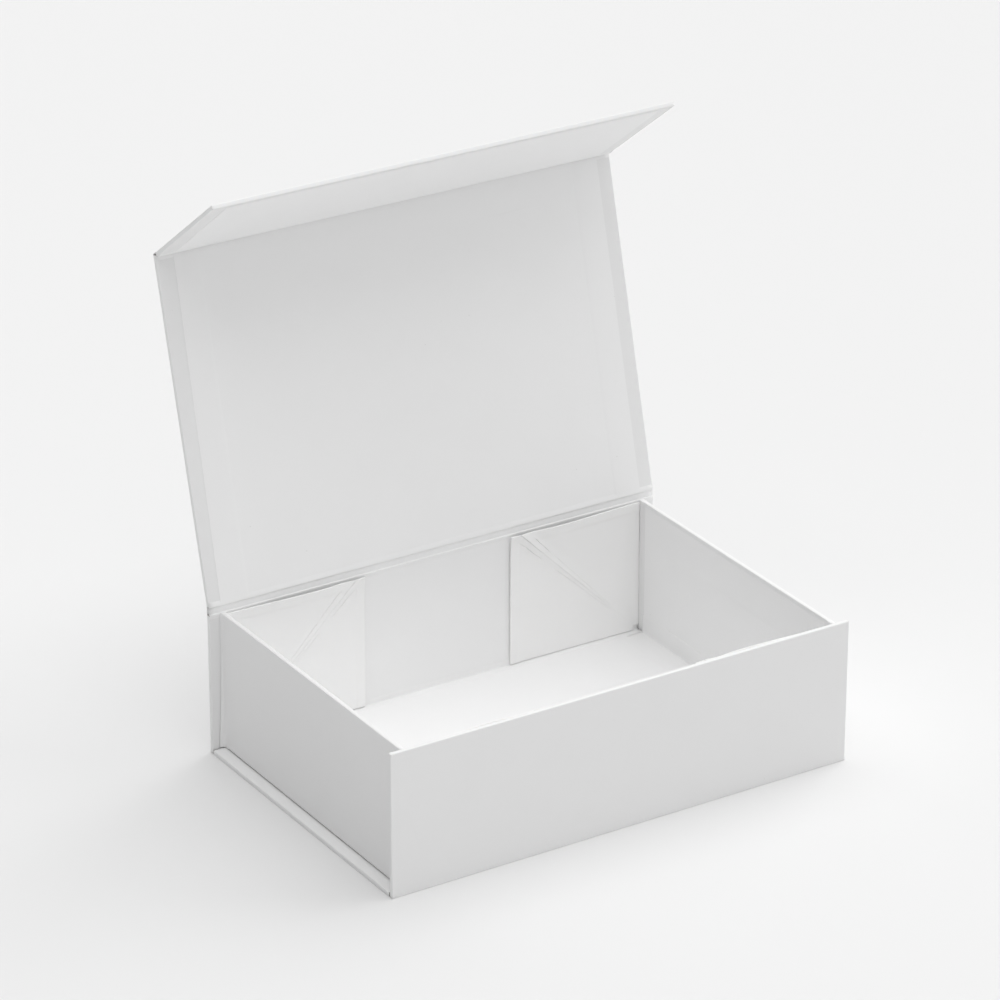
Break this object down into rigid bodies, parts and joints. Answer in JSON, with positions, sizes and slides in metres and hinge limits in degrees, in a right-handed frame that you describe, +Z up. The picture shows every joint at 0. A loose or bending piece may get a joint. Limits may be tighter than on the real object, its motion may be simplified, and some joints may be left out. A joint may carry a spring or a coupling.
{
  "type": "collapsible magnetic gift box",
  "caption": "Shallow rectangular rigid box covered in plain paper, with an attached hinged lid and a front flap held by hidden magnets; folds flat.",
  "frame": {"origin": "centre of the base's underside", "axes": "+X along the width to the right, +Y from the front wall to the hinged back wall, +Z up"},
  "size_m": [0.23, 0.1925, 0.261],
  "materials": {
    "greyboard": "matte",
    "white_wrap": "matte",
    "white_lining": "matte",
    "gusset_card": "matte",
    "adhesive_tape": "satin",
    "magnet": "bright plated",
    "steel": "satin"
  },
  "bodies": {
    "base": {"base_board": "greyboard", "base_wrap": "white_wrap", "base_lining": "white_lining", "back_fold_paper": "white_wrap", "front_fold_paper": "white_wrap"},
    "front_wall": {"front_wall_board": "greyboard", "front_wall_wrap": "white_wrap", "front_wall_lining": "white_lining", "keeper_disc_left": "steel", "keeper_disc_right": "steel", "front_left_gusset_fixed": "gusset_card", "front_left_gusset_tape": "adhesive_tape", "front_right_gusset_fixed": "gusset_card", "front_right_gusset_tape": "adhesive_tape"},
    "back_wall": {"back_wall_board": "greyboard", "back_wall_wrap": "white_wrap", "back_wall_lining": "white_lining", "back_left_gusset_fixed": "gusset_card", "back_left_gusset_tape": "adhesive_tape", "back_right_gusset_fixed": "gusset_card", "back_right_gusset_tape": "adhesive_tape"},
    "left_wall": {"left_wall_board": "greyboard", "left_wall_wrap": "white_wrap", "left_wall_lining": "white_lining", "left_wall_hinge_paper": "white_wrap", "left_front_corner_paper": "white_wrap", "left_back_corner_paper": "white_wrap"},
    "right_wall": {"right_wall_board": "greyboard", "right_wall_wrap": "white_wrap", "right_wall_lining": "white_lining", "right_wall_hinge_paper": "white_wrap", "right_front_corner_paper": "white_wrap", "right_back_corner_paper": "white_wrap"},
    "hinge_strip": {"lid_hinge_paper": "white_wrap", "lid_hinge_lining": "white_lining"},
    "lid": {"lid_board": "greyboard", "lid_wrap": "white_wrap", "lid_lining": "white_lining"},
    "flap": {"flap_board": "greyboard", "flap_wrap": "white_wrap", "flap_lining": "white_lining", "flap_magnet_left": "magnet", "flap_magnet_right": "magnet", "flap_fold_paper": "white_wrap", "flap_fold_lining": "white_lining"},
    "front_left_gusset": {"front_left_gusset_free": "gusset_card"},
    "front_right_gusset": {"front_right_gusset_free": "gusset_card"},
    "back_left_gusset": {"back_left_gusset_free": "gusset_card"},
    "back_right_gusset": {"back_right_gusset_free": "gusset_card"}
  },
  "joints": [
    {"name": "back_fold", "type": "hinge", "parent": "base", "child": "back_wall", "pos_m": [0, 0.07675, 0], "axis": [-1, 0, 0], "range_deg": [0, 90], "deforming": ["back_fold_paper"]},
    {"name": "front_fold", "type": "hinge", "parent": "base", "child": "front_wall", "pos_m": [0, -0.07675, 0], "axis": [1, 0, 0], "range_deg": [0, 90], "deforming": ["front_fold_paper"]},
    {"name": "left_fold", "type": "hinge", "parent": "base", "child": "left_wall", "pos_m": [-0.10718, 0, 0.00232], "axis": [0, 1, 0], "range_deg": [0, 90], "deforming": ["left_wall_hinge_paper", "left_front_corner_paper", "left_back_corner_paper"]},
    {"name": "right_fold", "type": "hinge", "parent": "base", "child": "right_wall", "pos_m": [0.10718, 0, 0.00232], "axis": [0, -1, 0], "range_deg": [0, 90], "deforming": ["right_wall_hinge_paper", "right_front_corner_paper", "right_back_corner_paper"]},
    {"name": "back_left_crease", "type": "hinge", "parent": "back_wall", "child": "back_left_gusset", "pos_m": [-0.10718, 0.07368, 0.00222], "axis": [0.7071, 0, 0.7071], "range_deg": [0, 180]},
    {"name": "back_right_crease", "type": "hinge", "parent": "back_wall", "child": "back_right_gusset", "pos_m": [0.10718, 0.07368, 0.00222], "axis": [0.7071, 0, -0.7071], "range_deg": [0, 180]},
    {"name": "front_left_crease", "type": "hinge", "parent": "front_wall", "child": "front_left_gusset", "pos_m": [-0.10718, -0.07368, 0.00222], "axis": [-0.7071, 0, -0.7071], "range_deg": [0, 180]},
    {"name": "front_right_crease", "type": "hinge", "parent": "front_wall", "child": "front_right_gusset", "pos_m": [0.10718, -0.07368, 0.00222], "axis": [-0.7071, 0, 0.7071], "range_deg": [0, 180]},
    {"name": "strip_fold", "type": "hinge", "parent": "back_wall", "child": "hinge_strip", "pos_m": [0, 0.07675, 0.0675], "axis": [1, 0, 0], "range_deg": [0, 14.5], "deforming": ["lid_hinge_lining"]},
    {"name": "lid_hinge", "type": "hinge", "parent": "hinge_strip", "child": "lid", "pos_m": [0, 0.07675, 0.07002], "axis": [1, 0, 0], "range_deg": [-75.5, 104.5], "deforming": ["lid_hinge_paper"]},
    {"name": "flap_fold", "type": "hinge", "parent": "lid", "child": "flap", "pos_m": [0, 0.11581, 0.22107], "axis": [1, 0, 0], "range_deg": [-67.3, 22.7], "deforming": ["flap_fold_paper", "flap_fold_lining"]}
  ],
  "couplings": [
    {"joint": "front_fold", "follows": "back_fold", "ratio": 1},
    {"joint": "left_fold", "follows": "back_fold", "ratio": 1},
    {"joint": "right_fold", "follows": "back_fold", "ratio": 1},
    {"joint": "strip_fold", "follows": "back_fold", "ratio": 0.16111},
    {"joint": "back_left_crease", "follows": "back_fold", "ratio": 2},
    {"joint": "back_right_crease", "follows": "back_fold", "ratio": 2},
    {"joint": "front_left_crease", "follows": "back_fold", "ratio": 2},
    {"joint": "front_right_crease", "follows": "back_fold", "ratio": 2}
  ]
}
